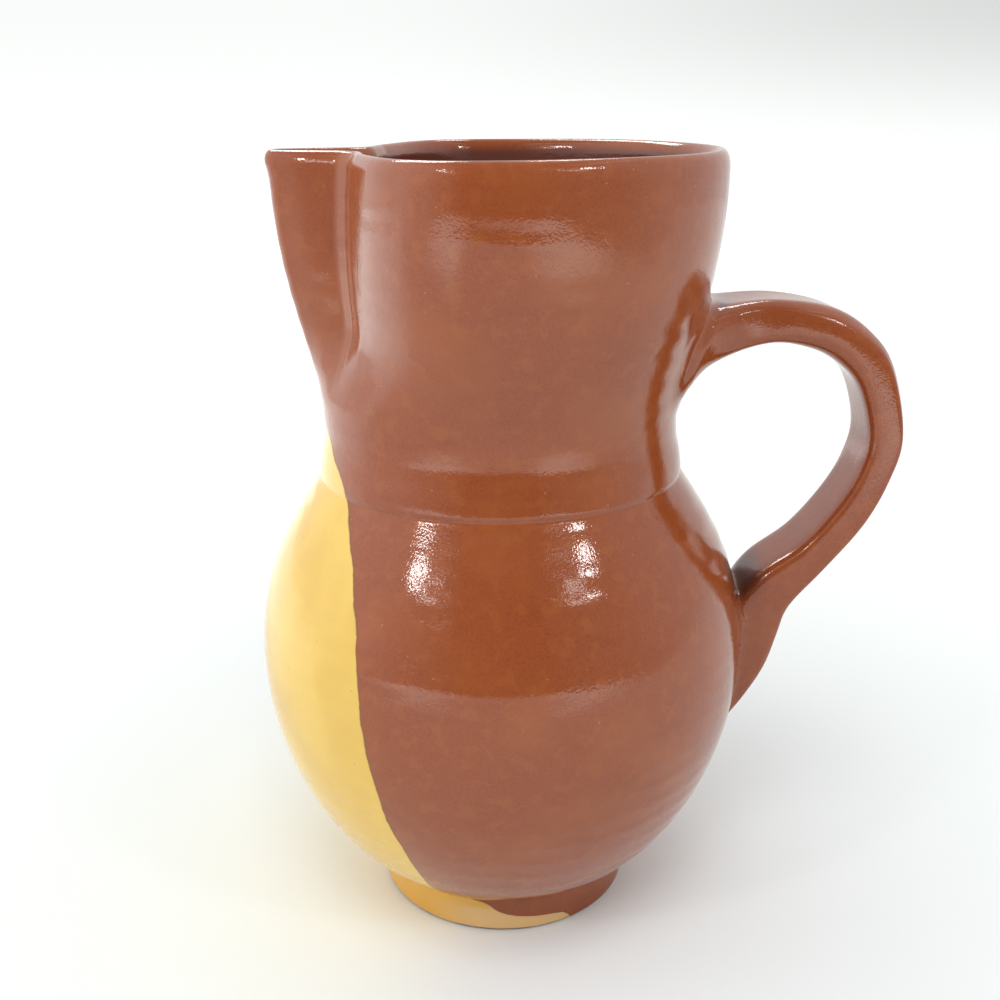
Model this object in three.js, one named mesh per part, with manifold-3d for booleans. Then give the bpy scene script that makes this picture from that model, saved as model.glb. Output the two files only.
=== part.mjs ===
// Glazed earthenware pitcher: a wheel-thrown belly and neck, a spout pinched out of
// the front of the rim, and a pulled strap handle joined to the neck and the belly.
// Millimetres, +Z up. The origin is the middle of the flat underside. The spout points
// along -X and the handle along +X.
import * as THREE from 'three';
import { mergeVertices } from 'three/addons/utils/BufferGeometryUtils.js';
import Module from 'manifold-3d';

const { lerp, clamp, smoothstep } = THREE.MathUtils;
const point = (x, y) => new THREE.Vector2(x, y);

// Driving dimensions of the thrown body, stacked from the foot up
const footRadius = 36.1;
const footHeight = 10.8;
const footEdgeRadius = 1.2;
const footHollow = 0.3;
const footHollowShare = 0.8;
const bellyRadius = 67.35;
const lowerBellyRise = 65.2;
const upperBellyRise = 51;
const shoulderRadius = 48.4;
const shoulderStep = 0.5;
const waistRadius = 47.2;
const waistRise = 14;
const neckRise = 63;
const mouthRadius = 57.9;
const mouthStraight = 6;
const bellyWall = 5.6;
const neckWall = 4.4;
const floorThickness = 9;
const floorDish = 1.3;
const insideShoulderDrop = 2;

// Driving dimensions of the pinched spout: its plan at the rim, outside sizes
const spoutLength = 20.5;
const spoutHalfWidth = 8.8;
const throatHalfWidth = 8.4;
const tipHalfWidth = 5.4;
const tipDepth = 3.2;
const tipRoundness = 0.8;
const mouthSpread = 2.9;
const mouthShift = 3.4;
const lipFlare = 1.5;
const lipFlareDepth = 5;
const lipFlareShare = 0.08;
const pinchFootRise = 2;
const pinchFullRise = 28;
const pinchNeckShare = 0.58;

// Driving dimensions of the strap handle
const handleWidth = 22;
const handleRootWidth = 39;
const handleTailWidth = 14;
const handleThickness = 9.6;
const handleTopThickness = 11.4;
const handleDrop = 37.7;
const handleStand = 49.5;
const handleCrestInset = 35;
const fingerCrestInset = 38;
const handleReachShare = 0.58;
const rootDrop = 25.8;
const rootBow = 1.2;
const rootLeadShare = 0.1;
const webReach = 9.5;
const webRise = 9;
const kinkRise = 11;
const kinkProud = 13.8;
const jointRise = 9.5;
const jointProud = 6;
const tailDrop = 40;
const tailEdge = 2;
const tailUnderlap = 2.5;
const handleSink = 3;
const rootSpreadShare = 0.13;
const tailStartShare = 0.78;
const rootSquareness = 0.85;
const strapSquareness = 0.6;
const gripShare = 0.4;
const gripLength = 0.16;

// Facets
const spoutSteps = 10;
const sideSteps = 8;
const backSteps = 10;
const spoutStepShare = 0.2;
const sideStepShare = 0.5;
const bellySteps = 7;
const waistSteps = 2;
const neckSteps = 9;
const lipSteps = 4;
const handleSteps = 34;
const handleSides = 12;

// Heights that follow from the stack
const bellyHeight = footHeight + lowerBellyRise;
const shoulderHeight = bellyHeight + upperBellyRise;
const waistHeight = shoulderHeight + waistRise;
const mouthHeight = waistHeight + neckRise;
const rimHeight = mouthHeight + mouthStraight;

// A curve between two spots. Each pull is a share of the span, across and up.
function pulledCurve(start, end, startPull, endPull) {
  const pulled = (share) => point(lerp(start.x, end.x, share.x), lerp(start.y, end.y, share.y));
  return new THREE.CubicBezierCurve(start, pulled(startPull), pulled(endPull), end);
}

// Outside of the thrown body from the foot up, as radius and height

const footTop = point(footRadius, footHeight);
const bellySpot = point(bellyRadius, bellyHeight);
const shoulderSpot = point(shoulderRadius, shoulderHeight);
const stepSpot = point(shoulderRadius + shoulderStep, shoulderHeight + shoulderStep);
const waistSpot = point(waistRadius, waistHeight);
const mouthSpot = point(mouthRadius, mouthHeight);

const lowerBelly = pulledCurve(footTop, bellySpot, point(0.408, 0.103), point(1, 0.494));
const upperBelly = pulledCurve(bellySpot, shoulderSpot, point(0, 0.535), point(0.704, 0.802));
const waist = pulledCurve(stepSpot, waistSpot, point(0, 0.34), point(1, 0.56));
const neck = pulledCurve(waistSpot, mouthSpot, point(0, 0.211), point(1, 0.53));

// Radius of the outside wall at a height
function wallRadius(height) {
  const spots = [lowerBelly, upperBelly, waist, neck].flatMap((curve) => curve.getPoints(80));
  const above = spots.findIndex((spot) => spot.y >= height);
  if (above < 1) return spots.at(above).x;
  const low = spots[above - 1];
  const high = spots[above];
  return THREE.MathUtils.mapLinear(height, low.y, high.y, low.x, high.x);
}

// Share of the pinch at a height: none below its foot, then a quick rise and a slow one to the rim
function pinchShare(height) {
  const foot = waistHeight + pinchFootRise;
  const opening = smoothstep(height, foot, waistHeight + pinchFullRise);
  const climb = clamp((height - foot) / (rimHeight - foot), 0, 1);
  return opening * lerp(pinchNeckShare, 1, climb);
}

// Half of the rim seen from above, from the tip of the spout round to the handle side
function pinchedRim() {
  const tip = point(-mouthRadius, 0);
  const tipCorner = point(-mouthRadius, -tipHalfWidth * tipRoundness);
  const tipSide = point(-mouthRadius + tipDepth, -tipHalfWidth);
  const cheek = point(-mouthRadius + spoutLength / 2, -spoutHalfWidth);
  const throat = point(-mouthRadius + spoutLength, -throatHalfWidth);
  const side = point(-mouthShift, -mouthRadius - mouthSpread);
  const half = new THREE.CurvePath();
  half.add(new THREE.QuadraticBezierCurve(tip, tipCorner, tipSide));
  half.add(new THREE.SplineCurve([tipSide, cheek, throat]));
  half.add(pulledCurve(throat, side, point(0.118, 0.344), point(0.394, 1)));
  half.add(new THREE.EllipseCurve(side.x, 0, mouthRadius - side.x, -side.y, -Math.PI / 2, 0));
  half.arcLengthDivisions = 400;
  return half;
}

const rimOutline = pinchedRim();

// Steps along the half outline: short ones round the spout, long ones at the back
function outlineSteps() {
  const steps = [];
  for (let i = 0; i < spoutSteps; i += 1) steps.push(lerp(0, spoutStepShare, i / spoutSteps));
  for (let i = 0; i < sideSteps; i += 1) steps.push(lerp(spoutStepShare, sideStepShare, i / sideSteps));
  for (let i = 0; i <= backSteps; i += 1) steps.push(lerp(sideStepShare, 1, i / backSteps));
  return steps;
}

// How far the lip leans out at the tip of the spout
function flareAt(step, height) {
  const below = (rimHeight - height) / lipFlareDepth;
  const aside = step / lipFlareShare;
  return lipFlare * Math.exp(-below * below - aside * aside);
}

// One level of the outside wall: a circle that the pinch bends towards the rim's outline
function levelOutline(radius, height) {
  const half = outlineSteps().map((step) => {
    const angle = Math.PI * step;
    const round = point(-radius * Math.cos(angle), -radius * Math.sin(angle));
    const pinched = rimOutline.getPointAt(step).clone().multiplyScalar(radius / mouthRadius);
    const spot = round.lerp(pinched, pinchShare(height));
    return point(spot.x - flareAt(step, height), spot.y);
  });
  const mirrored = half.slice(1, -1).reverse().map((spot) => point(spot.x, -spot.y));
  return half.concat(mirrored);
}

// The same level moved inwards by a distance, square to its own outline
function insetOutline(outline, distance) {
  const count = outline.length;
  return outline.map((spot, i) => {
    const before = outline[(i + count - 1) % count];
    const after = outline[(i + 1) % count];
    const along = after.clone().sub(before).normalize();
    return point(spot.x - distance * along.y, spot.y + distance * along.x);
  });
}

function ring(radius, height, inset = 0) {
  const outline = insetOutline(levelOutline(radius, height), inset);
  return outline.map((spot) => new THREE.Vector3(spot.x, spot.y, height));
}

const ringAt = (spot) => ring(spot.x, spot.y);

// The outside from the underside up to the lip
function outsideRings() {
  const foot = [
    ring(footRadius - footEdgeRadius, 0),
    ring(footRadius, footEdgeRadius),
    ring(footRadius - footHollow, footHeight * footHollowShare),
  ];
  return [
    ...foot,
    ...lowerBelly.getPoints(bellySteps).map(ringAt),
    ...upperBelly.getPoints(bellySteps).slice(1).map(ringAt),
    ...waist.getPoints(waistSteps).map(ringAt),
    ...neck.getPoints(neckSteps).slice(1).map(ringAt),
  ];
}

// The round lip, from the outside over the top to the inside
function lipRings() {
  const lipRadius = neckWall / 2;
  const rings = [];
  for (let i = 0; i <= lipSteps; i += 1) {
    const angle = Math.PI * i / lipSteps;
    const inset = lipRadius * (1 - Math.cos(angle));
    const height = rimHeight - lipRadius + lipRadius * Math.sin(angle);
    const outline = insetOutline(levelOutline(mouthRadius, rimHeight), inset);
    rings.push(outline.map((spot) => new THREE.Vector3(spot.x, spot.y, height)));
  }
  return rings;
}

// A profile moved inwards by a wall thickness, square to its own line
function insetProfile(curve, steps, wall) {
  const spots = [];
  for (let i = 0; i <= steps; i += 1) {
    const spot = curve.getPoint(i / steps);
    const along = curve.getTangent(i / steps);
    spots.push(point(spot.x - wall * along.y, spot.y + wall * along.x));
  }
  return spots;
}

// The inside from the lip down to the floor
function insideRings() {
  const throat = neck.getPoints(neckSteps).slice(2).reverse();
  const shoulder = point(shoulderRadius - bellyWall, shoulderHeight - insideShoulderDrop);
  const upper = insetProfile(upperBelly, bellySteps, bellyWall).slice(1, -2).reverse();
  const lower = insetProfile(lowerBelly, bellySteps, bellyWall).reverse();
  const floor = point(footRadius / 2, floorThickness + floorDish);
  return [
    ...throat.map((spot) => ring(spot.x, spot.y, neckWall)),
    ring(waistRadius, waistHeight, neckWall),
    ...[shoulder, ...upper, ...lower, floor].map(ringAt),
  ];
}

// A closed mesh from a row of rings, with each end closed by a fan round its middle
function closedSkin(rings, start, end) {
  const spots = rings.flat().concat([start, end]);
  const count = rings[0].length;
  const first = spots.length - 2;
  const last = spots.length - 1;
  const top = (rings.length - 1) * count;
  const faces = [];
  for (let i = 0; i < count; i += 1) {
    const next = (i + 1) % count;
    faces.push(first, next, i);
    faces.push(last, top + i, top + next);
    for (let low = 0; low < top; low += count) {
      const high = low + count;
      faces.push(low + i, low + next, high + next);
      faces.push(low + i, high + next, high + i);
    }
  }
  const positions = spots.flatMap((spot) => spot.toArray());
  const geometry = new THREE.BufferGeometry();
  geometry.setAttribute('position', new THREE.Float32BufferAttribute(positions, 3));
  geometry.setIndex(faces);
  return geometry;
}

function vesselGeometry() {
  const rings = [...outsideRings(), ...lipRings(), ...insideRings()];
  const underside = new THREE.Vector3(0, 0, 0);
  const floor = new THREE.Vector3(0, 0, floorThickness);
  return closedSkin(rings, underside, floor);
}

// Places of the handle, seen from the side: across and up

const handleTop = rimHeight - handleDrop;
const handleReach = mouthRadius + handleStand;
const kinkHeight = bellyHeight + kinkRise;
const reachHeight = lerp(kinkHeight, handleTop, handleReachShare);
const rootHeight = handleTop - rootDrop;
const tailHeight = kinkHeight - tailDrop;

// Spots of a bend between its ends, as shares of the span across and up
const upperBend = [point(0.41, 0.07), point(0.69, 0.24), point(0.88, 0.5)];
const backLowerBend = [point(0.09, 0.25), point(0.31, 0.515), point(0.68, 0.78)];
const fingerLowerBend = [point(0.055, 0.24), point(0.23, 0.48), point(0.57, 0.775)];

// The tail's back edge: a share of the way down it, and how far it stands off the belly
const tailLine = [point(0.2, 10.6), point(0.5, 7.35), point(0.84, 2.2), point(1, -0.75)];

const besideWall = (height, proud) => point(wallRadius(height) + proud, height);

function bendSpots(start, end, bend) {
  return bend.map((share) => point(lerp(start.x, end.x, share.x), lerp(start.y, end.y, share.y)));
}

function handleBackLine() {
  const crest = point(handleReach - handleCrestInset, handleTop);
  const reach = point(handleReach, reachHeight);
  const kink = besideWall(kinkHeight, kinkProud);
  return new THREE.SplineCurve([
    besideWall(handleTop - rootBow, -handleSink),
    point(lerp(mouthRadius, crest.x, rootLeadShare), handleTop - rootBow / 2),
    crest,
    ...bendSpots(crest, reach, upperBend),
    reach,
    ...bendSpots(reach, kink, backLowerBend),
    kink,
    ...tailLine.map((spot) => besideWall(lerp(kinkHeight, tailHeight, spot.x), spot.y)),
  ]);
}

function handleFingerLine() {
  const root = besideWall(rootHeight, -handleSink);
  const crest = point(handleReach - fingerCrestInset, handleTop - handleTopThickness);
  const reach = point(handleReach - handleThickness, reachHeight);
  const joint = besideWall(kinkHeight + jointRise, jointProud);
  const tailStart = joint.y - tailUnderlap;
  return new THREE.SplineCurve([
    root,
    point(root.x + webReach, root.y + webRise),
    crest,
    ...bendSpots(crest, reach, upperBend),
    reach,
    ...bendSpots(reach, joint, fingerLowerBend),
    joint,
    ...tailLine.map((spot) => besideWall(lerp(tailStart, tailHeight + tailEdge, spot.x), -handleSink)),
  ]);
}

// Width of the strap along its length: spread at the neck, narrow at the end of the tail
function handleWidthAt(share) {
  const spread = 1 - smoothstep(share, 0, rootSpreadShare);
  const narrowing = smoothstep(share, tailStartShare, 1);
  return lerp(handleWidth, handleRootWidth, spread) - (handleWidth - handleTailWidth) * narrowing;
}

// How square the strap's section is: 1 is an oval, less is a strap with rounded edges.
// The root is rounded off, and the grip, where the fingers smoothed it, is the roundest.
function handleSquareness(share) {
  const fromGrip = (share - gripShare) / gripLength;
  const strap = lerp(rootSquareness, strapSquareness, smoothstep(share, 0, rootSpreadShare));
  return lerp(strap, 1, Math.exp(-fromGrip * fromGrip));
}

// One section of the strap between the finger line and the back line
function handleSection(back, finger, width, squareness) {
  const rounded = (wave) => Math.sign(wave) * Math.abs(wave) ** squareness;
  const middle = back.clone().lerp(finger, 0.5);
  const rise = back.clone().sub(middle);
  const spots = [];
  for (let i = 0; i < handleSides; i += 1) {
    const angle = 2 * Math.PI * i / handleSides;
    const spot = rise.clone().multiplyScalar(rounded(Math.sin(angle))).add(middle);
    spots.push(new THREE.Vector3(spot.x, width / 2 * rounded(Math.cos(angle)), spot.y));
  }
  return spots;
}

function middleOf(section) {
  const sum = section.reduce((total, spot) => total.add(spot), new THREE.Vector3());
  return sum.divideScalar(section.length);
}

function handleGeometry() {
  const backLine = handleBackLine();
  const fingerLine = handleFingerLine();
  const sections = [];
  for (let i = 0; i <= handleSteps; i += 1) {
    const share = i / handleSteps;
    const back = backLine.getPoint(share);
    const finger = fingerLine.getPoint(share);
    sections.push(handleSection(back, finger, handleWidthAt(share), handleSquareness(share)));
  }
  return closedSkin(sections, middleOf(sections[0]), middleOf(sections.at(-1)));
}

// Joining the handle to the vessel, which the clay and the glaze make one piece

const wasm = await Module();
wasm.setup();

function solid(geometry) {
  const merged = mergeVertices(geometry);
  const vertProperties = new Float32Array(merged.attributes.position.array);
  const triVerts = new Uint32Array(merged.index.array);
  return new wasm.Manifold(new wasm.Mesh({ numProp: 3, vertProperties, triVerts }));
}

function solidGeometry(body) {
  const mesh = body.getMesh();
  const geometry = new THREE.BufferGeometry();
  geometry.setAttribute('position', new THREE.BufferAttribute(mesh.vertProperties, 3));
  geometry.setIndex(new THREE.BufferAttribute(mesh.triVerts, 1));
  geometry.computeVertexNormals();
  return geometry;
}

const glaze = new THREE.MeshStandardMaterial({ color: 0x9a5233, roughness: 0.15, metalness: 0 });

const fired = solid(vesselGeometry()).add(solid(handleGeometry()));
const pitcher = new THREE.Mesh(solidGeometry(fired), glaze);
pitcher.name = 'pitcher';

const model = new THREE.Group();
model.add(pitcher);

export default model;
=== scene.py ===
# Glazed redware pitcher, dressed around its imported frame: the thrown vessel, the pulled
# handle, the joint between them, the two-colour glaze, and the studio that it stands in.
# Sizes are millimetres, turned into metres as each mesh is made. The spout points along -X.
import math

import bpy
import numpy as np
from mathutils import Matrix, Vector


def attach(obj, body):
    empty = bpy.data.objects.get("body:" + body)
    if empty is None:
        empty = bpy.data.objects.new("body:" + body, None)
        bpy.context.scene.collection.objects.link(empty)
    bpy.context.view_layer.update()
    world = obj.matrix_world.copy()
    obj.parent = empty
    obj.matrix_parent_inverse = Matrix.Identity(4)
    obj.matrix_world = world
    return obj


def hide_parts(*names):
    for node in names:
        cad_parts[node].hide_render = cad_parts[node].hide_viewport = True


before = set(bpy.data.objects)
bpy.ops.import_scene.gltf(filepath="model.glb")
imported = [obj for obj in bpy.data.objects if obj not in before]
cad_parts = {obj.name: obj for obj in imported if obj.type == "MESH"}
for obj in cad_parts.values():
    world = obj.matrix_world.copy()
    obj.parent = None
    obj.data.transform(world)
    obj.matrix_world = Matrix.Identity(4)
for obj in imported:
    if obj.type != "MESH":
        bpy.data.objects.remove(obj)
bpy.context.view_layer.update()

# The vessel is red clay thrown on a wheel: a low foot, a round belly, a step under the
# neck, and a flared neck. While the rim was soft its front was pinched between two
# fingers, which makes the spout and the two folds that die out at the waist.
foot_radius = 36.1
foot_height = 10.8
foot_edge = 1.2
foot_hollow = 0.3
belly_radius = 67.35
belly_height = 76.0
shoulder_radius = 48.4
shoulder_height = 127.0
shoulder_step = 0.5
waist_radius = 47.2
waist_height = 141.0
mouth_radius = 57.9
mouth_height = 204.0
rim_height = 210.0
belly_wall = 5.6
neck_wall = 4.4
floor_height = 9.0
floor_dish = 1.3
inside_shoulder_drop = 2.0
spout_length = 18.9
spout_half_width = 8.0
throat_half_width = 10.2
facet_reach = 3.0
facet_width = 3.3
fold_reach = 1.8
fold_width = 11.5
tip_half_width = 5.4
tip_depth = 3.2
tip_roundness = 0.8
mouth_spread = 2.9
mouth_shift = 3.4
lip_flare = 1.5
lip_flare_depth = 5.0
lip_flare_share = 0.08
pinch_foot = waist_height + 2.0
pinch_full = waist_height + 28.0
pinch_neck_share = 0.58
lip_rise = 4.2
crisp_from, crisp_full = pinch_foot + 6.0, pinch_foot + 20.0
crisp_fold_radius, soft_fold_radius = 0.6, 4.0
outside_softening, inside_softening = 0.8, 2.0
spout_steps, side_steps, back_steps = 48, 38, 38
spout_tip_steps, mouth_back_steps = 60, 240
foot_edge_steps, foot_side_steps, lip_foot_steps, neck_inside_steps = 6, 12, 4, 32
wall_pace, lip_pace, step_pace, inside_pace = 1.35, 0.5, 0.35, 3.4
step_nearness, foot_nearness, foot_pace_share = 3.0, 5.0, 0.8
inside_end_rows = 40
METRE = 1000.0


def smooth_rise(value, low, high):
    share = np.clip((value - low) / (high - low), 0.0, 1.0)
    return share * share * (3.0 - 2.0 * share)


def pulled_curve(start, end, start_pull, end_pull, steps=200):
    start, end = np.array(start), np.array(end)
    first = start + (end - start) * start_pull
    second = start + (end - start) * end_pull
    t = np.linspace(0.0, 1.0, steps + 1)[:, None]
    u = 1.0 - t
    return u**3 * start + 3 * u * u * t * first + 3 * u * t * t * second + t**3 * end


def line_length(points):
    return np.concatenate([[0.0], np.cumsum(np.linalg.norm(np.diff(points, axis=0), axis=1))])


def walk(points, places):
    along = line_length(points)
    return np.stack([np.interp(places, along, column) for column in points.T], axis=1)


def blended(values, taps, reach):
    """Rows of values, each blended with those near it by a bell, the two ends kept."""
    weights = np.exp(-((taps / reach) ** 2))
    weights /= weights.sum()
    side = len(taps) // 2
    before = 2 * values[0] - values[side:0:-1]
    after = 2 * values[-1] - values[-2 : -side - 2 : -1]
    longer = np.vstack([before, values, after])
    return np.stack([np.convolve(column, weights, "valid") for column in longer.T], axis=1)


def softened(points, reach, pace=0.1):
    """The line with its corners rounded over a reach, its two ends kept."""
    places = np.arange(0.0, line_length(points)[-1], pace)
    even = np.vstack([walk(points, places), points[-1:]])
    return blended(even, np.arange(-3 * reach, 3 * reach + pace / 2, pace), reach)


def inset_line(points, distance):
    along = np.gradient(points, axis=0)
    along /= np.linalg.norm(along, axis=1)[:, None]
    return points + distance * np.stack([-along[:, 1], along[:, 0]], axis=1)


lower_belly = pulled_curve(
    (foot_radius, foot_height), (belly_radius, belly_height),
    start_pull=(0.408, 0.103), end_pull=(1, 0.494),
)
upper_belly = pulled_curve(
    (belly_radius, belly_height), (shoulder_radius, shoulder_height),
    start_pull=(0, 0.535), end_pull=(0.704, 0.802),
)
waist = pulled_curve(
    (shoulder_radius + shoulder_step, shoulder_height + shoulder_step), (waist_radius, waist_height),
    start_pull=(0, 0.34), end_pull=(1, 0.56),
)
neck = pulled_curve(
    (waist_radius, waist_height), (mouth_radius, mouth_height),
    start_pull=(0, 0.211), end_pull=(1, 0.53),
)
foot_rise = np.linspace(0.0, 1.0, foot_side_steps)
foot_side = np.stack([
    foot_radius - foot_hollow * np.sin(math.pi * foot_rise),
    foot_edge + (foot_height - foot_edge) * foot_rise,
], axis=1)
outside_line = softened(
    np.vstack([foot_side, lower_belly, upper_belly, waist, neck]), outside_softening
)


def wall_radius(height):
    return np.interp(height, outside_line[:, 1], outside_line[:, 0])


def pinch_share(height):
    """How far the wall has gone from round towards the pinched plan at a height."""
    climb = np.clip((height - pinch_foot) / (rim_height - pinch_foot), 0.0, 1.0)
    depth = pinch_neck_share + (1 - pinch_neck_share) * climb
    return smooth_rise(height, pinch_foot, pinch_full) * depth


def spline(spots, share):
    """A smooth line through evenly numbered spots, at shares of the way through them."""
    spots = np.array(spots, dtype=float)
    last = len(spots) - 1
    place = np.clip(share, 0.0, 1.0) * last
    low = np.minimum(place.astype(int), last - 1)
    t = (place - low)[:, None]
    before, start = spots[np.maximum(low - 1, 0)], spots[low]
    end, after = spots[low + 1], spots[np.minimum(low + 2, last)]
    leave, arrive = (end - before) / 2, (after - start) / 2
    cubic = 2 * start - 2 * end + leave + arrive
    square = 3 * end - 3 * start - 2 * leave - arrive
    return cubic * t**3 + square * t**2 + leave * t + start


def pinched_rim(fold_radius):
    """Half of the rim seen from above, from the tip of the spout round to the handle side."""
    t = np.linspace(0.0, 1.0, spout_tip_steps)[:, None]
    tip = np.array([-mouth_radius, 0.0])
    corner = np.array([-mouth_radius, -tip_half_width * tip_roundness])
    tip_side = np.array([-mouth_radius + tip_depth, -tip_half_width])
    cheek = (-mouth_radius + spout_length / 2, -spout_half_width)
    throat = (-mouth_radius + spout_length, -throat_half_width)
    facet = (throat[0] + facet_reach, throat[1] - facet_width)
    fold = (facet[0] + fold_reach, facet[1] - fold_width)
    side = (-mouth_shift, -mouth_radius - mouth_spread)
    front = (1 - t) ** 2 * tip + 2 * t * (1 - t) * corner + t * t * tip_side
    cheeks = spline([tip_side, cheek, throat], t[:, 0])
    shoulder = pulled_curve(fold, side, start_pull=(0.12, 0.28), end_pull=(0.3, 1))
    turn = np.linspace(-math.pi / 2, 0.0, mouth_back_steps)
    back = np.stack([
        side[0] + (mouth_radius - side[0]) * np.cos(turn),
        -side[1] * np.sin(turn),
    ], axis=1)
    half = np.vstack([front, cheeks[1:], [facet], shoulder, back[1:]])
    mirrored = half[::-1] * (1, -1)
    loop = softened(np.vstack([mirrored, half[1:]]), fold_radius)
    half = loop[len(loop) // 2 :]
    plan = walk(half, around * line_length(half)[-1])
    plan[:, 0] -= (plan[0, 0] + mouth_radius) * np.exp(-((around / lip_flare_share) ** 2))
    return plan


around = np.concatenate([
    np.linspace(0.0, 0.2, spout_steps, endpoint=False),
    np.linspace(0.2, 0.5, side_steps, endpoint=False),
    np.linspace(0.5, 1.0, back_steps + 1),
])
crisp_plan = pinched_rim(crisp_fold_radius)
soft_plan = pinched_rim(soft_fold_radius)
round_plan = np.stack([-np.cos(math.pi * around), -np.sin(math.pi * around)], axis=1)


def level_outline(radius, height):
    share = pinch_share(height)
    crispness = smooth_rise(height, crisp_from, crisp_full)
    plan = soft_plan + (crisp_plan - soft_plan) * crispness
    half = (1 - share) * radius * round_plan + share * plan * (radius / mouth_radius)
    below = (rim_height - height) / lip_flare_depth
    half[:, 0] -= lip_flare * np.exp(-(below**2) - (around / lip_flare_share) ** 2)
    return np.vstack([half, half[-2:0:-1] * (1, -1)])


def vessel_ring(radius, height, inset=0.0, level=None):
    """A ring of the wall, inset from its outside; level is the height of its outline."""
    outline = level_outline(radius, height if level is None else level)
    along = np.roll(outline, -1, axis=0) - np.roll(outline, 1, axis=0)
    along /= np.linalg.norm(along, axis=1)[:, None]
    outline = outline + inset * np.stack([-along[:, 1], along[:, 0]], axis=1)
    return np.column_stack([outline, np.full(len(outline), height)])


def paced(points, paces):
    """Places along a line, stepped by a pace that depends on the height."""
    total = line_length(points)[-1]
    places = [0.0]
    while places[-1] < total:
        height = walk(points, np.array([places[-1]]))[0, 1]
        places.append(places[-1] + paces(height))
    return walk(points, np.array(places[:-1]) * total / places[-1])


def outside_pace(height):
    near_step = math.exp(-(((height - shoulder_height) / step_nearness) ** 2))
    near_foot = math.exp(-(((height - foot_height) / foot_nearness) ** 2))
    return wall_pace - (wall_pace - step_pace) * max(near_step, foot_pace_share * near_foot)


def vessel_rings():
    """From the middle of the underside, up the outside, over the lip and down inside."""
    rings = [vessel_ring(share * (foot_radius - foot_edge), 0.0) for share in (0.3, 0.6, 0.85)]
    for angle in np.linspace(0.0, math.pi / 2, foot_edge_steps):
        inset = foot_edge * (1 - math.sin(angle))
        rings.append(vessel_ring(foot_radius - inset, foot_edge * (1 - math.cos(angle))))
    rings += [vessel_ring(*spot) for spot in paced(outside_line, outside_pace)[1:]]
    lip_radius = neck_wall / 2
    lip_base = rim_height - lip_rise
    for height in np.linspace(mouth_height, lip_base, lip_foot_steps)[1:-1]:
        rings.append(vessel_ring(mouth_radius, height))
    for angle in np.linspace(0.0, math.pi, int(math.pi * lip_radius / lip_pace)):
        inset = lip_radius * (1 - math.cos(angle))
        height = lip_base + lip_rise * math.sin(angle)
        level = height if angle < math.pi / 2 else rim_height
        rings.append(vessel_ring(mouth_radius, height, inset, level))
    for height in np.linspace(lip_base, waist_height, neck_inside_steps)[1:]:
        rings.append(vessel_ring(wall_radius(min(height, mouth_height)), height, neck_wall))
    inside_line = softened(np.vstack([
        [(waist_radius - neck_wall, waist_height)],
        [(shoulder_radius - belly_wall, shoulder_height - inside_shoulder_drop)],
        inset_line(upper_belly, belly_wall)[inside_end_rows:-inside_end_rows][::-1],
        inset_line(lower_belly, belly_wall)[::-1],
        [(foot_radius / 2, floor_height + floor_dish), (0.0, floor_height)],
    ]), inside_softening)
    rings += [vessel_ring(*spot) for spot in paced(inside_line, lambda height: inside_pace)[1:-1]]
    return rings


def closed_skin(name, rings, start, end):
    """A closed mesh from a row of rings, with each end closed by a fan round its middle."""
    count = len(rings[0])
    points = np.vstack(rings + [np.array([start, end])]) / METRE
    first, last = len(points) - 2, len(points) - 1
    here = np.arange(count)
    beyond = (here + 1) % count
    faces = [[first, j, i] for i, j in zip(here, beyond)]
    for low in range(0, (len(rings) - 1) * count, count):
        high = low + count
        faces += np.stack([low + here, low + beyond, high + beyond, high + here], axis=1).tolist()
    top = (len(rings) - 1) * count
    faces += [[last, top + i, top + j] for i, j in zip(here, beyond)]
    mesh = bpy.data.meshes.new(name)
    mesh.from_pydata(points.tolist(), [], faces)
    made = bpy.data.objects.new(name, mesh)
    bpy.context.scene.collection.objects.link(made)
    return made


vessel = closed_skin("thrown_vessel", vessel_rings(), (0, 0, 0), (0, 0, floor_height))

# Node trees are written as expressions: a wire is one output of a node, and sums on
# wires add the Math nodes that work them out. The bench adds every other node.


class Wire:
    def __init__(self, bench, socket):
        self.bench = bench
        self.socket = socket

    def __add__(self, other):
        return self.bench.sums("ADD", self, other)

    def __sub__(self, other):
        return self.bench.sums("SUBTRACT", self, other)

    def __rsub__(self, other):
        return self.bench.sums("SUBTRACT", other, self)

    def __mul__(self, other):
        return self.bench.sums("MULTIPLY", self, other)

    def __truediv__(self, other):
        return self.bench.sums("DIVIDE", self, other)

    def __pow__(self, other):
        return self.bench.sums("POWER", self, other)

    def __gt__(self, other):
        return self.bench.sums("GREATER_THAN", self, other)

    def __abs__(self):
        return self.bench.sums("ABSOLUTE", self)

    __radd__ = __add__
    __rmul__ = __mul__


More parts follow.
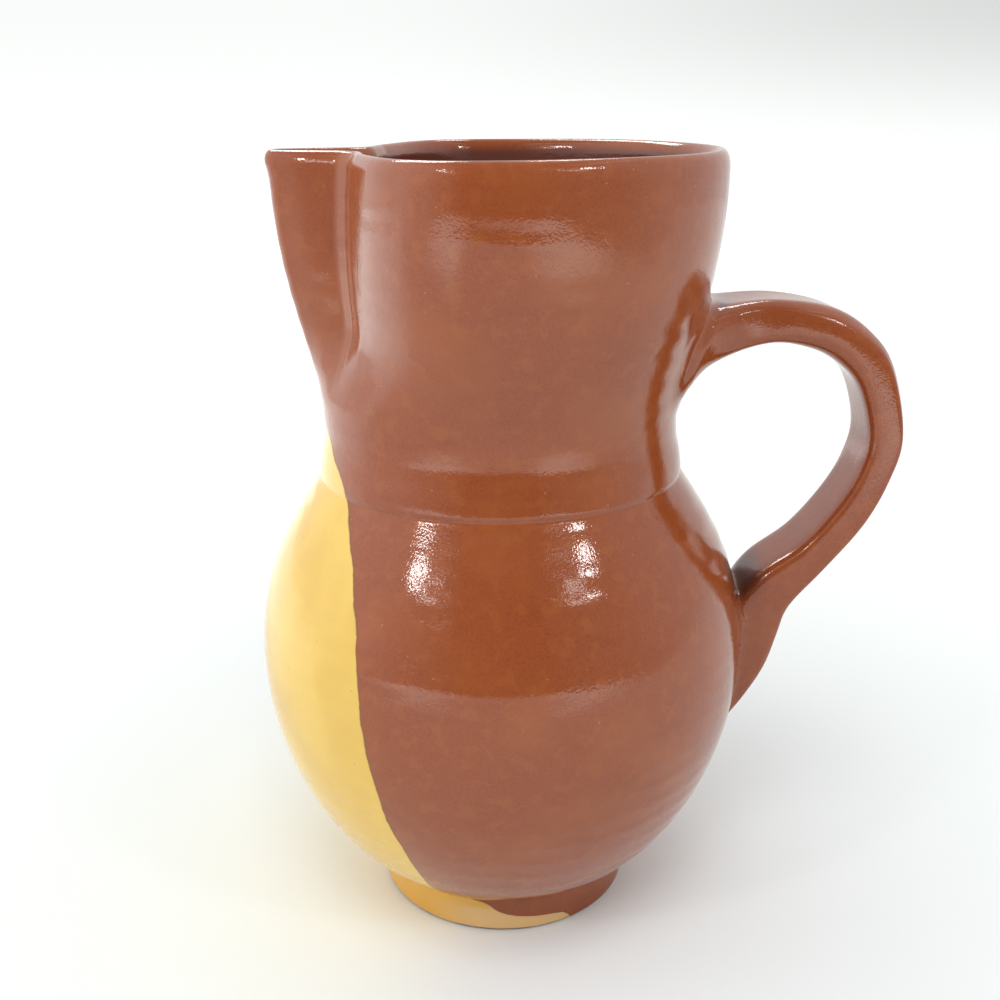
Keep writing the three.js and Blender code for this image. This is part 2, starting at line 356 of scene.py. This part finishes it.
class Bench:
    def __init__(self, tree):
        self.tree = tree

    def add(self, kind, settings, inputs, output=0):
        """A node of a kind: its settings first, then the values or wires of its inputs."""
        node = self.tree.nodes.new(kind)
        for name, value in settings.items():
            if name == "stops":
                self.set_stops(node.color_ramp.elements, value)
            elif name == "points":
                self.set_points(node.mapping, value)
            else:
                setattr(node, name, value)
        for key, value in inputs.items():
            for item in value if isinstance(value, list) else [value]:
                if isinstance(item, Wire):
                    self.tree.links.new(item.socket, node.inputs[key])
                else:
                    node.inputs[key].default_value = item
        return Wire(self, node.outputs[output]) if node.outputs else None

    def set_stops(self, elements, stops):
        while len(elements) < len(stops):
            elements.new(0.5)
        for element, (place, shade) in zip(elements, stops):
            element.position = place
            element.color = (shade, shade, shade, 1.0)

    def set_points(self, mapping, points):
        curve = mapping.curves[0]
        while len(curve.points) < len(points):
            curve.points.new(0.5, 0.5)
        for spot, place in zip(curve.points, points):
            spot.location = place
        mapping.update()

    def sums(self, operation, *values):
        return self.add("ShaderNodeMath", {"operation": operation}, dict(enumerate(values)))

    def scaled(self, vector, factor):
        inputs = {0: vector, "Scale": factor}
        return self.add("ShaderNodeVectorMath", {"operation": "SCALE"}, inputs)

    def rise(self, value, low, high):
        """0 below the low value, 1 above the high one, and a smooth step between them."""
        inputs = {"Value": value, "From Min": low, "From Max": high}
        return self.add("ShaderNodeMapRange", {"interpolation_type": "SMOOTHSTEP"}, inputs)

    def noise(self, place, size, detail=2.0, roughness=0.5):
        """A smooth cloudy pattern from 0 to 1, with blotches about a size across."""
        inputs = {"Vector": place, "Scale": 1.0 / size, "Detail": detail, "Roughness": roughness}
        return self.add("ShaderNodeTexNoise", {}, inputs)

    def parts(self, vector):
        """The X, Y and Z of a vector, or the red, green and blue of a colour."""
        x = self.add("ShaderNodeSeparateXYZ", {}, {0: vector})
        outputs = x.socket.node.outputs
        return x, Wire(self, outputs[1]), Wire(self, outputs[2])


def clay_tree(name, sizes):
    """An empty geometry tree with a mesh in, a mesh out and the named sizes."""
    tree = bpy.data.node_groups.new(name, "GeometryNodeTree")
    tree.interface.new_socket("Mesh", in_out="INPUT", socket_type="NodeSocketGeometry")
    tree.interface.new_socket("Mesh", in_out="OUTPUT", socket_type="NodeSocketGeometry")
    for label, kind in sizes.items():
        tree.interface.new_socket(label, in_out="INPUT", socket_type=kind)
    bench = Bench(tree)
    entry = tree.nodes.new("NodeGroupInput")
    wires = {socket.name: Wire(bench, socket) for socket in entry.outputs if socket.name}
    return bench, wires


def work_clay(piece, bench, mesh, values):
    """Runs a tree on a piece and leaves the result as its plain mesh."""
    bench.add("NodeGroupOutput", {}, {0: mesh})
    modifier = piece.modifiers.new("work", "NODES")
    modifier.node_group = bench.tree
    for item in bench.tree.interface.items_tree:
        if item.in_out == "INPUT" and item.name in values:
            modifier[item.identifier] = values[item.name]
    ready = piece.evaluated_get(bpy.context.evaluated_depsgraph_get())
    worked = bpy.data.meshes.new_from_object(ready)
    piece.modifiers.clear()
    piece.data = worked


# Throwing leaves marks: a shallow spiral from the fingers that runs up the wall, a wall
# that is never quite round, a rim that is never quite level, and the groove and ridge
# that a rib cut where the neck begins.
ring_pitch, ring_depth, ring_drift = 6.4, 0.07, 5.0
out_of_round, rim_wave = 0.25, 0.35
drift_patch, hand_patch, round_patch, wave_patch, broken_patch = 40.0, 26.0, 55.0, 48.0, 30.0
marks_start, marks_full = 3.0, 12.0
marks_end, marks_fade = rim_height - 1.0, rim_height - 9.0
groove_height, groove_width, groove_share = shoulder_height - 0.3, 0.8, -0.3
ridge_rise, ridge_width, ridge_depth = 0.9, 0.55, 0.14
faint_line_rise, faint_line_width, faint_line_share = -3.6, 0.6, 0.4


def throwing_marks():
    values = {"Ring pitch": ring_pitch, "Ring depth": ring_depth, "Out of round": out_of_round,
              "Rim wave": rim_wave, "Ridge depth": ridge_depth, "Groove height": groove_height}
    bench, wires = clay_tree("throwing marks", dict.fromkeys(values, "NodeSocketFloat"))
    place = bench.scaled(bench.add("GeometryNodeInputPosition", {}, {}), METRE)
    normal = bench.add("GeometryNodeInputNormal", {}, {})
    x, y, z = bench.parts(place)
    turn = bench.sums("ARCTAN2", y, x)
    drift = bench.noise(place, drift_patch) * ring_drift
    spiral = bench.sums("SINE", z * (2 * math.pi) / wires["Ring pitch"] + turn + drift)
    hand = bench.rise(bench.noise(place, hand_patch), 0.38, 0.62)
    rings = spiral * wires["Ring depth"] * hand
    round_off = (bench.noise(place, round_patch, 0.0) - 0.5) * 2.0 * wires["Out of round"]
    from_groove = z - wires["Groove height"]

    def turned_line(rise, width):
        return bench.sums("EXPONENT", ((from_groove - rise) / width) ** 2.0 * -1.0)

    groove = turned_line(0.0, groove_width) * groove_share
    ridge = turned_line(ridge_rise, ridge_width)
    faint_line = turned_line(faint_line_rise, faint_line_width) * faint_line_share
    broken = bench.rise(bench.noise(place, broken_patch), 0.45, 0.6)
    turned = (groove + ridge + faint_line * broken) * wires["Ridge depth"]
    body = bench.rise(z, marks_start, marks_full) * bench.rise(z, marks_end, marks_fade)
    outward = bench.scaled(normal, ((rings + round_off) * body + turned) / METRE)
    wave = (bench.noise(place, wave_patch, 0.0) - 0.5) * 2.0 * wires["Rim wave"]
    lift = wave * bench.rise(z, waist_height, rim_height) / METRE
    upward = bench.add("ShaderNodeCombineXYZ", {}, {"Z": lift})
    moves = bench.add("ShaderNodeVectorMath", {"operation": "ADD"}, {0: outward, 1: upward})
    mesh = bench.add("GeometryNodeSetPosition", {}, {"Geometry": wires["Mesh"], "Offset": moves})
    work_clay(vessel, bench, mesh, values)


throwing_marks()

# The handle is a strap of clay pulled by hand: wide where it was smeared onto the neck,
# rounder where the fingers smoothed the grip, kinked where it was pressed to the belly,
# and drawn out there into a thin tail.
handle_width = 22.0
handle_root_width = 39.0
handle_tail_width = 14.0
handle_thickness = 9.6
handle_top_thickness = 11.4
handle_top = rim_height - 37.7
handle_reach = mouth_radius + 49.5
crest_inset = 35.0
finger_crest_inset = 38.0
kink_height = belly_height + 11.0
kink_proud = 13.8
reach_height = kink_height + (handle_top - kink_height) * 0.58
root_drop = 25.8
root_bow = 1.2
root_lead = 0.1
web_reach, web_rise = 9.5, 9.0
joint_rise, joint_proud = 9.5, 6.0
tail_height = kink_height - 40.0
tail_edge = 2.0
tail_underlap = 2.5
handle_sink = 3.0
root_spread = 0.13
tail_start = 0.78
root_squareness, strap_squareness, grip_squareness = 0.7, 0.34, 0.6
grip_share, grip_length = 0.24, 0.08
upper_bend = [(0.41, 0.07), (0.69, 0.24), (0.88, 0.5)]
back_lower_bend = [(0.09, 0.25), (0.31, 0.515), (0.68, 0.78)]
finger_lower_bend = [(0.055, 0.24), (0.23, 0.48), (0.57, 0.775)]
tail_line = [(0.2, 10.6), (0.5, 7.35), (0.84, 2.2), (1.0, -0.75)]
handle_steps, handle_sides = 230, 48
stroke_depth, stroke_count, stroke_twist = 0.22, 6, 1.5
handle_softening = 3


def beside_wall(height, proud):
    return (float(wall_radius(height)) + proud, height)


def bend_spots(start, end, bend):
    return [(start[0] + (end[0] - start[0]) * a, start[1] + (end[1] - start[1]) * b) for a, b in bend]


def handle_lines(share):
    """The strap's back and its finger side, seen from the side of the pitcher."""
    crest = (handle_reach - crest_inset, handle_top)
    reach = (handle_reach, reach_height)
    kink = beside_wall(kink_height, kink_proud)
    back = [
        beside_wall(handle_top - root_bow, -handle_sink),
        (mouth_radius + (crest[0] - mouth_radius) * root_lead, handle_top - root_bow / 2),
        crest, *bend_spots(crest, reach, upper_bend),
        reach, *bend_spots(reach, kink, back_lower_bend), kink,
        *[beside_wall(kink_height + (tail_height - kink_height) * a, b) for a, b in tail_line],
    ]
    root = beside_wall(handle_top - root_drop, -handle_sink)
    crest = (handle_reach - finger_crest_inset, handle_top - handle_top_thickness)
    reach = (handle_reach - handle_thickness, reach_height)
    joint = beside_wall(kink_height + joint_rise, joint_proud)
    tail_top = joint[1] - tail_underlap
    tail_foot = tail_height + tail_edge
    finger = [
        root, (root[0] + web_reach, root[1] + web_rise),
        crest, *bend_spots(crest, reach, upper_bend),
        reach, *bend_spots(reach, joint, finger_lower_bend), joint,
        *[beside_wall(tail_top + (tail_foot - tail_top) * a, -handle_sink) for a, _ in tail_line],
    ]
    return spline(back, share), spline(finger, share)


def handle_rings():
    share = np.linspace(0.0, 1.0, handle_steps + 1)
    taps = np.arange(-3 * handle_softening, 3 * handle_softening + 1)
    back, finger = (blended(line, taps, handle_softening) for line in handle_lines(share))
    spread = 1 - smooth_rise(share, 0.0, root_spread)
    width = handle_width + (handle_root_width - handle_width) * spread
    width -= (handle_width - handle_tail_width) * smooth_rise(share, tail_start, 1.0)
    strap = root_squareness + (strap_squareness - root_squareness) * (1 - spread)
    square = strap + (grip_squareness - strap) * np.exp(-(((share - grip_share) / grip_length) ** 2))
    turn = 2 * math.pi * np.arange(handle_sides) / handle_sides
    rings = []
    for i in range(handle_steps + 1):
        sine = np.sign(np.sin(turn)) * np.abs(np.sin(turn)) ** square[i]
        cosine = np.sign(np.cos(turn)) * np.abs(np.cos(turn)) ** square[i]
        middle = (back[i] + finger[i]) / 2
        rise = (back[i] - finger[i]) / 2
        thick = np.linalg.norm(rise)
        strokes = np.cos(turn * stroke_count + stroke_twist * share[i] * math.pi)
        hollow = stroke_depth * strokes * np.maximum(np.sin(turn), 0)
        spots = middle + rise * (sine + hollow / max(thick, 1.0))[:, None]
        rings.append(np.column_stack([spots[:, 0], width[i] / 2 * cosine, spots[:, 1]]))
    return rings


rings_of_handle = handle_rings()
handle = closed_skin(
    "pulled_handle", rings_of_handle, rings_of_handle[0].mean(axis=0), rings_of_handle[-1].mean(axis=0)
)

# Slip joins the handle to the vessel: it fills the corner with a fillet, wide under the
# root, where fingers smeared it out, and tight at the belly, where a crease was left.
root_fillet, tail_fillet, fillet_thinness = 6.0, 2.2, 4.0
tail_fillet_top = kink_height + 15.0
seam_reach, seam_core, seam_passes = 3.5, 0.6, 6


def press_on():
    sizes = {"Handle": "NodeSocketObject", "Root fillet": "NodeSocketFloat",
             "Tail fillet": "NodeSocketFloat", "Smoothing": "NodeSocketInt",
             "Glaze": "NodeSocketMaterial"}
    bench, wires = clay_tree("pressed joint", sizes)
    strap = bench.add("GeometryNodeObjectInfo", {}, {"Object": wires["Handle"]}, output="Geometry")

    def filled(mesh, other):
        distance = bench.add("GeometryNodeProximity", {}, {0: other}, output="Distance") * METRE
        position = bench.add("GeometryNodeInputPosition", {}, {})
        height = bench.parts(position)[2] * METRE
        upper = bench.rise(height, tail_fillet_top, waist_height)
        reach = wires["Tail fillet"] + (wires["Root fillet"] - wires["Tail fillet"]) * upper
        near = bench.sums("MAXIMUM", reach - distance, 0.0)
        depth = near * near / (reach * fillet_thinness) / METRE
        out = bench.scaled(bench.add("GeometryNodeInputNormal", {}, {}), depth)
        return bench.add("GeometryNodeSetPosition", {}, {"Geometry": mesh, "Offset": out})

    bodies = [filled(wires["Mesh"], strap), filled(strap, wires["Mesh"])]
    joined = bench.add("GeometryNodeMeshBoolean", {"operation": "UNION", "solver": "EXACT"},
                       {"Mesh 2": bodies})
    seam = Wire(bench, joined.socket.node.outputs["Intersecting Edges"])
    line = bench.add("GeometryNodeSeparateGeometry", {"domain": "EDGE"}, {0: joined, 1: seam})
    gap = bench.add("GeometryNodeProximity", {"target_element": "EDGES"}, {0: line}, output="Distance")
    weight = bench.rise(gap * METRE, seam_reach, seam_core)
    place = bench.add("GeometryNodeInputPosition", {}, {})
    relaxed = bench.add("GeometryNodeBlurAttribute", {"data_type": "FLOAT_VECTOR"},
                        {0: place, "Iterations": wires["Smoothing"], "Weight": weight})
    eased_seam = bench.add("GeometryNodeSetPosition", {}, {"Geometry": joined, "Position": relaxed})
    smooth = bench.add("GeometryNodeSetShadeSmooth", {}, {0: eased_seam})
    real = bench.add("GeometryNodeRealizeInstances", {}, {0: smooth})
    dressed = bench.add("GeometryNodeSetMaterial", {}, {0: real, "Material": wires["Glaze"]})
    values = {"Handle": handle, "Root fillet": root_fillet, "Tail fillet": tail_fillet,
              "Smoothing": seam_passes, "Glaze": glaze}
    work_clay(vessel, bench, dressed, values)


# The glaze is a clear and very glossy coat over the red clay. Before glazing, the front
# was dipped in yellow slip, which shows as a bib under the spout with a thin dark line
# round it. The underside was wiped bare, and the inside is painted darker than the outside
# as painted shade in the hollow.
clay_brown = (0.31, 0.074, 0.022, 1.0)
clay_deep = (0.24, 0.052, 0.016, 1.0)
clay_amber = (0.36, 0.098, 0.026, 1.0)
# Painted shade for the crease under the handle's lower joint.
crease_shade_colour = (0.07, 0.022, 0.014, 1.0)
# Painted shade for the hollow inside.
inside_shade_colour = (0.16, 0.050, 0.034, 1.0)
slip_yellow = (0.85, 0.57, 0.12, 1.0)
slip_honey = (0.72, 0.42, 0.07, 1.0)
slip_amber = (0.78, 0.42, 0.07, 1.0)
slip_pale = (0.79, 0.50, 0.21, 1.0)
slip_line = (0.20, 0.085, 0.022, 1.0)
bare_clay = (0.28, 0.16, 0.12, 1.0)
speck_pale = (0.75, 0.45, 0.28, 1.0)
speck_dark = (0.06, 0.022, 0.012, 1.0)
# The slip covers the wall nearer the spout than these places: each a height, then an X.
bib_edge = [(0.0, 19.0), (2.6, 17.0), (4.2, 6.9), (5.4, 0.6), (7.0, -2.5), (8.4, -4.0),
            (9.6, -7.0), (11.0, -12.5), (17.0, -17.3), (35.0, -24.2), (53.0, -29.8),
            (76.0, -33.9), (97.0, -35.3), (117.0, -36.8), (127.0, -38.7), (134.0, -41.5),
            (140.5, -44.5), (143.0, -49.0), (150.0, -58.0)]
bib_height, bib_low, bib_span = 150.0, -60.0, 80.0
wall_stops = (0.0, 11.0, 20.0, 34.0, 52.0, 76.0, 96.0, 112.0, 125.0, 134.0, 141.0, 160.0,
              180.0, 204.0, 210.0)
joint_spot = beside_wall(kink_height + joint_rise, 0.5)
cloud_size, drift_size, streak_size = 28.0, 14.0, 6.0
skin_size, ripple_size, grain_size = 4.0, 2.2, 0.6
streak_stretch = (0.35, 0.35, 1.6)
speck_cell, speck_radius, speck_share, dark_from, raised_from = 3.0, 0.22, 0.5, 0.7, 0.72
bib_wander, bib_ripple = 2.6, 0.5
slip_edge, slip_full = -0.12, 0.18
line_inset, line_edge, line_core = 0.2, 0.6, 0.1
crease_reach, crease_core, crease_end, crease_full_width = 10.0, 2.5, 13.0, 10.0
wall_skin, wall_deep = 1.6, 3.2
mouth_outside, mouth_inside = 60.0, 58.5
mouth_foot, mouth_full = 146.0, 150.0
facing_out, facing_in = 0.25, -0.05
lip_brown, floor_margin = 1.5, 1.5
pool_top, pool_full, pool_drift = 17.0, 9.0, 9.0
bare_top, bare_full, bare_drift = 1.0, 0.5, 1.4
skin_depth, grain_depth, streak_depth, grit_depth = 0.06, 0.032, 0.014, 0.12
slip_thickness, bare_depth = 0.06, 0.3
gloss_roughness, cloud_roughness, bare_roughness = 0.065, 0.04, 0.8
glaze_index = 1.54


def glaze_material():
    made = bpy.data.materials.new("two_colour_glaze")
    made.use_nodes = True
    made.node_tree.nodes.clear()
    bench = Bench(made.node_tree)
    place = bench.scaled(bench.add("ShaderNodeTexCoord", {}, {}, output="Object"), METRE)
    x, y, z = bench.parts(place)
    edge = [(height / bib_height, (back - bib_low) / bib_span) for height, back in bib_edge]
    edge_curve = bench.add("ShaderNodeFloatCurve", {"points": edge}, {"Value": z / bib_height})
    drift = bench.noise(place, drift_size) - 0.5
    wander = drift * bib_wander + (bench.noise(place, ripple_size, 1.0) - 0.5) * bib_ripple
    inside_bib = edge_curve * bib_span + bib_low - x + wander

    def mix(a, b, factor):
        return bench.add("ShaderNodeMix", {"data_type": "RGBA"}, {0: factor, 6: a, 7: b}, output=2)

    def specks(size, radius, share):
        """Spots in some cells of a grid: how much of a spot is here, and its own number."""
        cells = bench.add("ShaderNodeTexVoronoi", {}, {"Vector": place, "Scale": 1.0 / size})
        number = bench.parts(Wire(bench, cells.socket.node.outputs["Color"]))[0]
        return bench.rise(cells * size, radius, radius * 0.5) * (number > 1.0 - share), number

    stretch = bench.add("ShaderNodeVectorMath", {"operation": "MULTIPLY"},
                        {0: place, 1: streak_stretch})
    wheel_streaks = bench.noise(stretch, streak_size)
    clouds = bench.noise(place, cloud_size, 3.0)
    skin = bench.noise(place, skin_size, 3.0, 0.6)
    grain = bench.noise(place, grain_size, 1.0)
    spots, number = specks(speck_cell, speck_radius, speck_share)
    dark_spots = spots * (number > dark_from)
    brown = mix(clay_brown, clay_deep, bench.rise(wheel_streaks, 0.5, 0.8) * 0.3)
    brown = mix(brown, clay_deep, bench.rise(grain, 0.42, 0.72) * 0.5)
    brown = mix(brown, clay_amber, bench.rise(clouds, 0.45, 0.7) * 0.5)
    brown = mix(brown, clay_amber, bench.rise(skin, 0.5, 0.66) * 0.5)

    # The crease under the handle's lower joint is painted dark: painted shade where the strap meets
    # the belly.
    to_joint = bench.sums("SQRT", (x - joint_spot[0]) ** 2.0 + (z - joint_spot[1]) ** 2.0)
    crease = bench.rise(to_joint, crease_reach, crease_core)
    crease = crease * bench.rise(abs(y), crease_end, crease_full_width)
    brown = mix(brown, crease_shade_colour, crease * 0.95)

    # Inside is what faces the axis or lies well within the wall, from under the lip down; it
    # is painted darker there, as painted shade in the hollow.
    from_axis = bench.sums("SQRT", x * x + y * y)
    facing = bench.add("ShaderNodeNewGeometry", {}, {}, output="Normal")
    level_place = bench.add("ShaderNodeCombineXYZ", {}, {"X": x, "Y": y})
    outward = bench.add("ShaderNodeVectorMath", {"operation": "DOT_PRODUCT"},
                        {0: facing, 1: level_place}, output="Value") / from_axis
    wall = [(height / rim_height, wall_radius(height) / belly_radius) for height in wall_stops]
    wall_curve = bench.add("ShaderNodeFloatCurve", {"points": wall}, {"Value": z / rim_height})
    within = bench.rise(wall_curve * belly_radius - from_axis, wall_skin, wall_deep)
    within = within * (z > floor_height - floor_margin)
    mouth = bench.rise(from_axis, mouth_outside, mouth_inside)
    inside_shade_mask = within + (mouth - within) * bench.rise(z, mouth_foot, mouth_full)
    below_lip = bench.rise(z, rim_height - lip_brown, rim_height - lip_rise)
    inward = bench.rise(outward, facing_out, facing_in)
    brown = mix(brown, inside_shade_colour, inward * inside_shade_mask * below_lip)

    # The slip is honey in places, amber where it pools on the foot, and thin at its far edge.
    yellow = mix(slip_yellow, slip_honey, bench.rise(clouds, 0.42, 0.68) * 0.45)
    foot_pool = bench.rise(z + drift * pool_drift, pool_top, pool_full)
    thin_coat = bench.rise(x, -24.0, -6.0) * bench.rise(z, 8.5, 6.0)
    yellow = mix(yellow, mix(slip_amber, slip_pale, thin_coat), foot_pool)
    slip = bench.rise(inside_bib, slip_edge, slip_full) * (1.0 - within)
    edge_line = bench.rise(abs(inside_bib + line_inset), line_edge, line_core) * (1.0 - within)
    colour = mix(brown, yellow, slip)
    colour = mix(colour, slip_line, edge_line * 0.4)
    colour = mix(colour, speck_pale, (spots - dark_spots) * 0.4)
    colour = mix(colour, speck_dark, dark_spots * 0.5)
    bare = bench.rise(z + drift * bare_drift, bare_top, bare_full)
    colour = mix(colour, bare_clay, bare)

    skin_relief = (skin - 0.5) * skin_depth + (grain - 0.5) * grain_depth
    streak_relief = (wheel_streaks - 0.5) * streak_depth
    grit = spots * (number - raised_from) * grit_depth
    coat = (skin_relief + streak_relief + grit) * (1.0 - bare)
    height = coat + slip * slip_thickness + skin * bare_depth * bare
    bump = bench.add("ShaderNodeBump", {}, {"Height": height / METRE, "Distance": 1.0})
    gloss = gloss_roughness + clouds * cloud_roughness
    roughness = gloss + (bare_roughness - gloss) * bare
    shader = bench.add("ShaderNodeBsdfPrincipled", {}, {
        "Base Color": colour, "Roughness": roughness, "Normal": bump, "IOR": glaze_index,
    })
    bench.add("ShaderNodeOutputMaterial", {}, {"Surface": shader})
    return made


glaze = glaze_material()
press_on()
bpy.data.objects.remove(handle)
vessel.name = "glazed_pitcher"
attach(vessel, "root")
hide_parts("pitcher")

# The studio is one pale paper: a table that ends in front of the pitcher, and a sweep all
# round behind it that only the camera sees. Soft light comes from all round but the front,
# through a pair of windows high at the left and right.
table_corners = [(-0.62, -0.72), (0.42, -0.72), (0.6, -0.1), (1.6, 0.3), (1.6, 1.6), (-1.6, 1.6),
                 (-1.6, 0.1), (-0.7, -0.2)]
table_shade = (0.92, 0.97, 0.97, 1.0)
sweep_shade = (0.98, 1.0, 0.985, 1.0)
paper_glow, corner_glow, left_glow = 1.12, 1.3, 0.5
wall_dimming, right_dimming = 0.15, 0.27
shadow_reach, shadow_end = 0.07, 0.42


def pale_paper(name):
    """Paper that takes the shadow near the pitcher and further off glows as painted light, brighter at
    the front corners and the left and dimmer to the right and up the sweep.
    """
    made = bpy.data.materials.new(name)
    made.use_nodes = True
    made.node_tree.nodes.clear()
    bench = Bench(made.node_tree)
    x, y, z = bench.parts(bench.add("ShaderNodeTexCoord", {}, {}, output="Object"))
    # Painted light: the paper's glow is raised at the front corners and beside the pitcher at the
    # left, and dimmed to the right and up the sweep.
    dimmer = (bench.rise(x, -0.4, 1.2) * right_dimming + wall_dimming) * bench.rise(z, 0.0, 0.4)
    front = bench.rise(y, -0.25, -0.45) * bench.rise(z, 0.3, 0.02)
    corners = front * bench.rise(abs(x), 0.12, 0.3) * corner_glow
    beside = bench.rise(y, -0.08, 0.1) * bench.rise(z, 0.05, 0.0)
    left = beside * bench.rise(x, -0.06, -0.3) * left_glow
    lit = bench.add("ShaderNodeEmission", {},
                    {"Color": sweep_shade, "Strength": corners + left - dimmer + paper_glow})
    shaded = bench.add("ShaderNodeBsdfDiffuse", {}, {"Color": table_shade})
    away = bench.rise(bench.sums("SQRT", x * x + y * y), shadow_reach, shadow_end)
    shader = bench.add("ShaderNodeMixShader", {}, {0: away, 1: shaded, 2: lit})
    bench.add("ShaderNodeOutputMaterial", {}, {"Surface": shader})
    # The paper is met by chance and not aimed at as a lamp is, which saves a lot of time.
    made.cycles.emission_sampling = "NONE"
    return made


def stage_mesh(name, points, faces, paper):
    mesh = bpy.data.meshes.new(name)
    mesh.from_pydata(points, [], faces)
    mesh.materials.append(paper)
    made = bpy.data.objects.new(name, mesh)
    bpy.context.scene.collection.objects.link(made)
    return made


paper = pale_paper("pale_paper")
table_points = [(x, y, 0.0) for x, y in table_corners]
stage_mesh("table", table_points, [list(range(len(table_points)))], paper)
sweep_hole, sweep_flat, sweep_bend, sweep_top = 0.01, 1.5, 0.9, 2.2
sweep_level, sweep_bend_steps, sweep_sides = -0.0005, 16, 96
sweep_line = [(sweep_hole, sweep_level), (sweep_flat, sweep_level)]
for angle in np.linspace(0.0, math.pi / 2, sweep_bend_steps)[1:]:
    out = sweep_flat + sweep_bend * math.sin(angle)
    sweep_line.append((out, sweep_bend * (1 - math.cos(angle)) + sweep_level))
sweep_line.append((sweep_flat + sweep_bend, sweep_top))
sweep_points, sweep_faces = [], []
for i in range(sweep_sides):
    turn = 2 * math.pi * i / sweep_sides
    for j, (out, up) in enumerate(sweep_line):
        sweep_points.append((out * math.cos(turn), out * math.sin(turn), up))
        if j:
            here, beyond = i * len(sweep_line) + j, (i + 1) % sweep_sides * len(sweep_line) + j
            sweep_faces.append((here - 1, here, beyond, beyond - 1))
sweep = stage_mesh("sweep", sweep_points, sweep_faces, paper)
for polygon in sweep.data.polygons:
    polygon.use_smooth = True
sweep.visible_glossy = False
sweep.visible_diffuse = False
sweep.visible_shadow = False


room_levels = [(-180, 1.15), (-110, 1.5), (-96, 1.8), (-64, 1.6), (-48, 1.0), (-32, 0.6),
               (-20, 0.2), (18, 0.15), (30, 0.35), (60, 0.7), (78, 1.1), (110, 1.2), (180, 1.15)]
brightest = 2.0
ceiling_front, ceiling_behind = 0.3, 0.8
ceiling_foot, ceiling_full = 42, 60
floor_front_dimming = 0.15


def room_light():
    """Soft light by direction: bright behind and at the sides, dark in front."""
    world = bpy.data.worlds.new("room")
    bpy.context.scene.world = world
    world.use_nodes = True
    world.node_tree.nodes.clear()
    bench = Bench(world.node_tree)
    aim = bench.add("ShaderNodeTexCoord", {}, {}, output="Generated")
    x, y, z = bench.parts(aim)
    azimuth = bench.sums("ARCTAN2", x, y * -1.0) / (2 * math.pi) + 0.5
    stops = [((angle + 180) / 360, level / brightest) for angle, level in room_levels]
    walls = bench.add("ShaderNodeValToRGB", {"stops": stops}, {0: azimuth}) * brightest
    ceiling = ceiling_front + bench.rise(y, -0.35, 0.35) * ceiling_behind
    high = bench.rise(z, *(math.sin(math.radians(angle)) for angle in (ceiling_foot, ceiling_full)))
    level = walls + (ceiling - walls) * high
    front = bench.rise(abs(azimuth - 0.5), 95.0 / 360, 75.0 / 360) * bench.rise(z, 0.02, -0.03)
    level = level * (1.0 - front * floor_front_dimming)
    lit = bench.add("ShaderNodeBackground", {}, {"Strength": level})
    bench.add("ShaderNodeOutputWorld", {}, {"Surface": lit})


window_distance = 1.05
near_shoulder = Vector((0.0, -0.05, 0.118))


def window(name, azimuths, elevations, radiance, roll=0.0, matt=True, shine=True):
    """A soft light that the shoulder sees between two azimuths and two elevations."""
    middle = math.radians(sum(azimuths) / 2)
    height = math.radians(sum(elevations) / 2)
    way = Vector((math.sin(middle) * math.cos(height), -math.cos(middle) * math.cos(height),
                  math.sin(height)))
    lamp = bpy.data.lights.new(name, "AREA")
    lamp.shape = "RECTANGLE"
    lamp.size = window_distance * math.cos(height) * math.radians(azimuths[1] - azimuths[0])
    lamp.size_y = window_distance * math.radians(elevations[1] - elevations[0])
    lamp.energy = radiance * math.pi * lamp.size * lamp.size_y
    made = bpy.data.objects.new(name, lamp)
    made.matrix_world = (Matrix.Translation(near_shoulder + way * window_distance)
                         @ (-way).to_track_quat("-Z", "Y").to_matrix().to_4x4()
                         @ Matrix.Rotation(math.radians(roll), 4, "Z"))
    made.visible_camera = False
    made.visible_diffuse = matt
    made.visible_glossy = shine
    bpy.context.scene.collection.objects.link(made)


room_light()
window("left_window", (-54, -46), (32.5, 38.5), 26.0, roll=26)
window("left_window_bar", (-44, -30), (38.6, 39.4), 5.0)
window("left_window_corner", (-45, -35), (29, 32.5), 7.0, roll=26)
window("left_window_edge", (-36, -27), (26, 29), 1.2)
window("left_skylight", (-88, -30), (54, 60), 0.8)
window("left_ceiling", (-168, -140), (36, 62), 12.0, matt=False)
window("right_window", (49, 56), (32.5, 38.5), 26.0, roll=-26)
window("right_window_bar", (30, 46), (38.6, 39.4), 5.0)
window("right_window_corner", (36, 46), (29, 32.5), 6.0, roll=-26)
window("right_skylight", (50, 108), (54, 60), 0.8)
window("right_ceiling", (156, 170), (44, 62), 9.0, matt=False)
window("front_fill", (-25, 25), (45, 75), 4.7, shine=False)

# The camera stands in front, a little above the rim, and looks down at the belly. Its
# place, turn and lens were worked out from the ellipses of the rim, the step and the foot.
camera_eye = (0.0, -0.3102357, 0.2235801)
camera_pitch = math.radians(19.13)
camera_roll = math.radians(-0.50)
camera_yaw = math.radians(-0.04)
lens, sensor = 42.48, 36.0
forward = Vector((math.sin(camera_yaw) * math.cos(camera_pitch),
                  math.cos(camera_yaw) * math.cos(camera_pitch), -math.sin(camera_pitch)))
level_right = forward.cross(Vector((0, 0, 1))).normalized()
level_up = level_right.cross(forward)
right = math.cos(camera_roll) * level_right + math.sin(camera_roll) * level_up
up = -math.sin(camera_roll) * level_right + math.cos(camera_roll) * level_up
eye = bpy.data.cameras.new("camera")
eye.lens = lens
eye.sensor_width = sensor
eye.clip_start = 0.01
camera = bpy.data.objects.new("camera", eye)
turned = Matrix((right, up, -forward)).transposed()
camera.matrix_world = Matrix.Translation(camera_eye) @ turned.to_4x4()
bpy.context.scene.collection.objects.link(camera)
bpy.context.scene.camera = camera
bpy.context.scene.view_settings.view_transform = "Standard"
